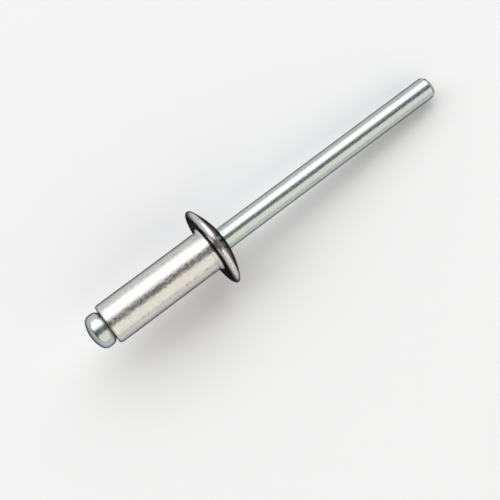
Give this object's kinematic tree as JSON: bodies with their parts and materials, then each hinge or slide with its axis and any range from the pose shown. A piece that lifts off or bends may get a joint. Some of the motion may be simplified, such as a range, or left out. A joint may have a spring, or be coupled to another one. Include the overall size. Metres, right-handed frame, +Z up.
{
  "type": "blind rivet",
  "caption": "Open-end blind rivet, unset: a hollow aluminium shank with a domed flange, threaded on a headed steel mandrel whose long stem is pulled to set it.",
  "frame": {"origin": "middle of the rivet's outline seen from above, on the surface it lies on", "axes": "+X along the rivet from its head to the tail of its stem, +Z up; the rivet's axis dips towards the tail by the angle at which it comes to rest"},
  "size_m": [0.0464, 0.0094, 0.0093],
  "materials": {
    "rivet_body": "satin, tumbled after forming",
    "mandrel": "bright zinc plating, smooth"
  },
  "bodies": {
    "root": {"rivet_body": "rivet_body", "mandrel": "mandrel"}
  },
  "joints": []
}
